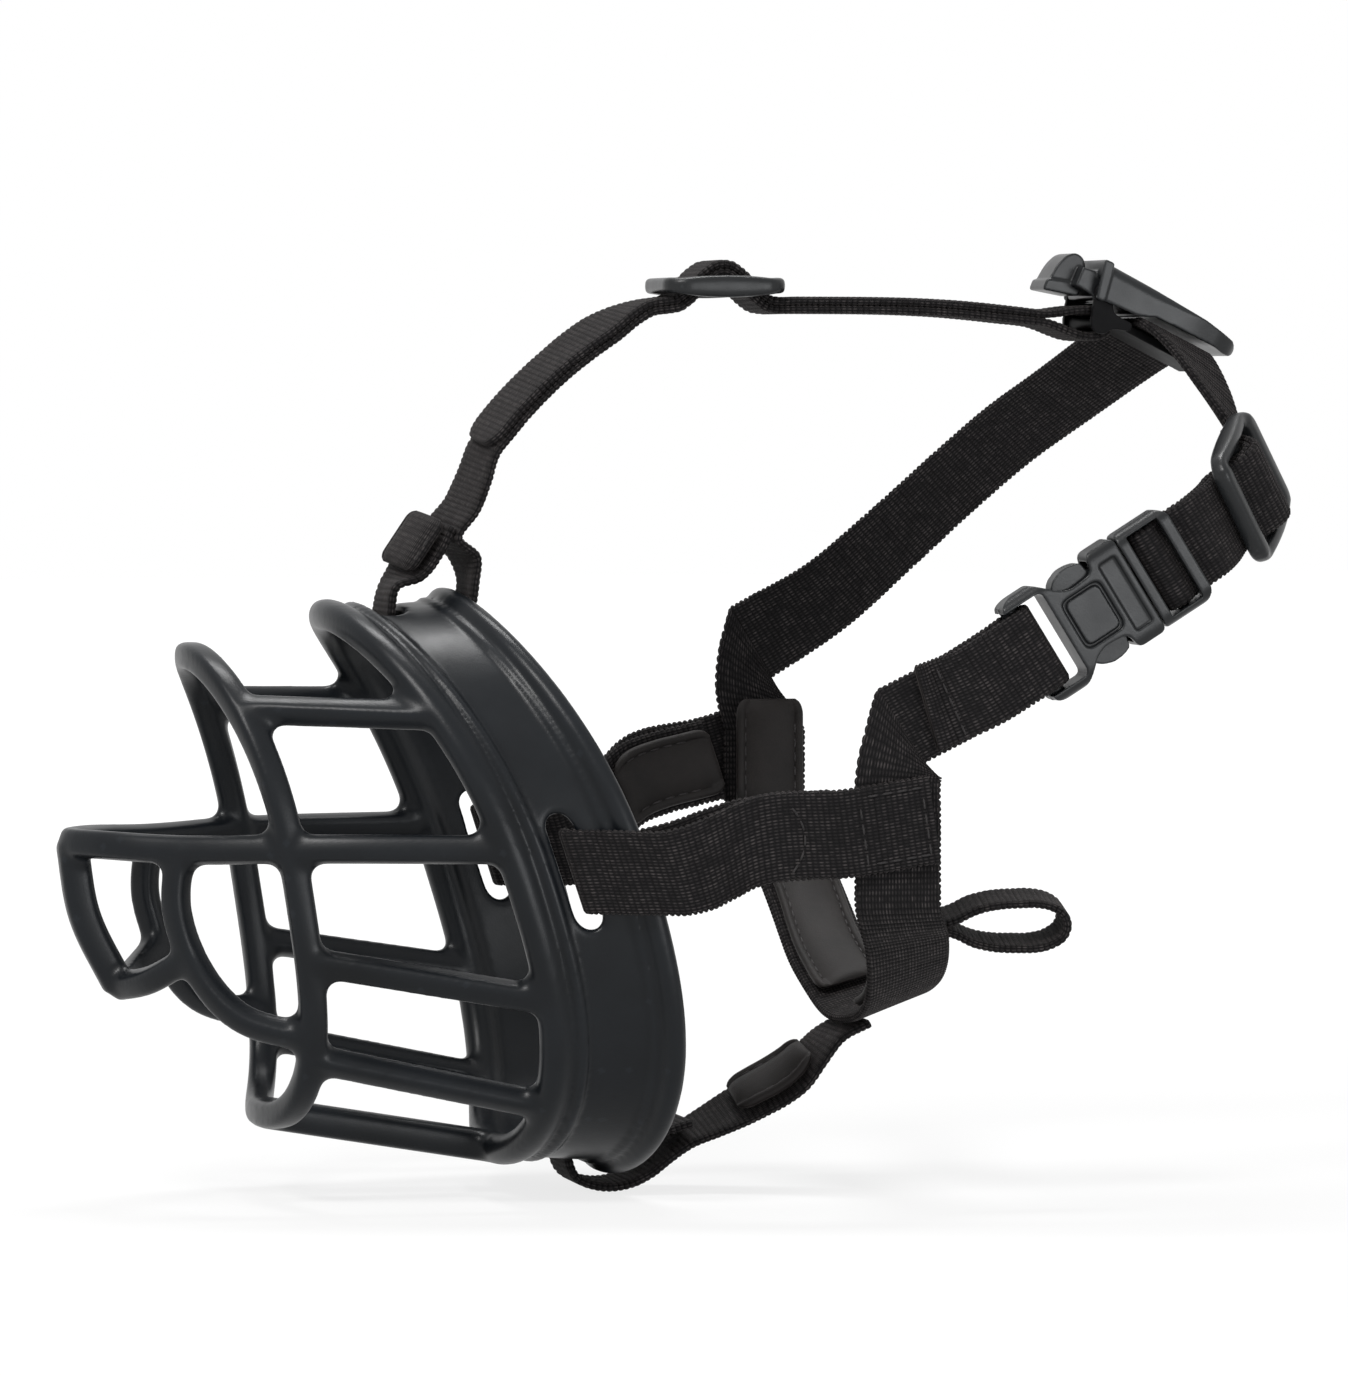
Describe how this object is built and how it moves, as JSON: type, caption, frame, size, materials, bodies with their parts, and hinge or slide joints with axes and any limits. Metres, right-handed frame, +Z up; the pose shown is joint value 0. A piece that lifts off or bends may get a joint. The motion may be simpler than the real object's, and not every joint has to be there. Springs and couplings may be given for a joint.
{
  "type": "basket muzzle",
  "caption": "Moulded basket muzzle on a webbing harness, with a side-release buckle, length sliders, a crown clip and a collar loop.",
  "frame": {"origin": "centre of the basket's rear opening, where the snout goes in", "axes": "-X towards the nose, +X towards the neck, -Y the side with the buckle, +Z up"},
  "size_m": [0.2224, 0.1057, 0.1694],
  "materials": {
    "moulded_rubber": "satin moulded rubber",
    "webbing": "ribbed nylon webbing",
    "lining": "soft padded lining",
    "buckle_plastic": "satin moulded plastic",
    "steel": "plain pin"
  },
  "bodies": {
    "harness": {"basket": "moulded_rubber", "near_cheek_strap": "webbing", "far_cheek_strap": "webbing", "throat_strap": "webbing", "chin_strap": "webbing", "near_neck_strap": "webbing", "neck_strap": "webbing", "head_strap": "webbing", "head_tab": "webbing", "near_cheek_pad": "lining", "far_cheek_pad": "lining", "near_throat_pad": "lining", "far_throat_pad": "lining", "chin_pad": "lining", "clip_base": "buckle_plastic", "buckle_socket": "buckle_plastic", "clip_pin": "steel"},
    "head_adjuster": {"head_slider": "buckle_plastic"},
    "plug": {"buckle_plug": "buckle_plastic"},
    "upper_prong": {"buckle_prong_upper": "buckle_plastic"},
    "lower_prong": {"buckle_prong_lower": "buckle_plastic"},
    "neck_adjuster": {"neck_slider": "buckle_plastic"},
    "clip_jaw": {"clip_lever": "buckle_plastic"},
    "loop": {"collar_loop": "webbing"}
  },
  "joints": [
    {"name": "head_slider_slide", "type": "slide", "parent": "harness", "child": "head_adjuster", "axis": [1, 0, 0], "range_m": [-0.004, 0.02], "deforming": ["head_strap"]},
    {"name": "plug_release", "type": "slide", "parent": "harness", "child": "plug", "axis": [0.848, 0, 0.5299], "range_m": [0, 0.017], "deforming": ["neck_strap", "buckle_prong_upper", "buckle_prong_lower"]},
    {"name": "upper_prong_squeeze", "type": "hinge", "parent": "plug", "child": "upper_prong", "pos_m": [0.09766, -0.047, 0.05855], "axis": [0, -1, 0], "range_deg": [0, 9], "stiffness_Nm_per_rad": 0.1},
    {"name": "lower_prong_squeeze", "type": "hinge", "parent": "plug", "child": "lower_prong", "pos_m": [0.1036, -0.047, 0.04906], "axis": [0, 1, 0], "range_deg": [0, 9], "stiffness_Nm_per_rad": 0.1},
    {"name": "neck_slider_slide", "type": "slide", "parent": "plug", "child": "neck_adjuster", "axis": [-0.4408, -0.7767, -0.4498], "range_m": [0, 0.006], "deforming": ["neck_strap"]},
    {"name": "clip_lever_hinge", "type": "hinge", "parent": "harness", "child": "clip_jaw", "pos_m": [0.107, 0, 0.107], "axis": [0, -1, 0], "range_deg": [0, 12], "stiffness_Nm_per_rad": 0.05},
    {"name": "collar_loop_bend", "type": "hinge", "parent": "harness", "child": "loop", "pos_m": [0.07145, -0.0426, -0.00779], "axis": [0, 0.9536, 0.3011], "range_deg": [-25, 25], "stiffness_Nm_per_rad": 0.004}
  ]
}
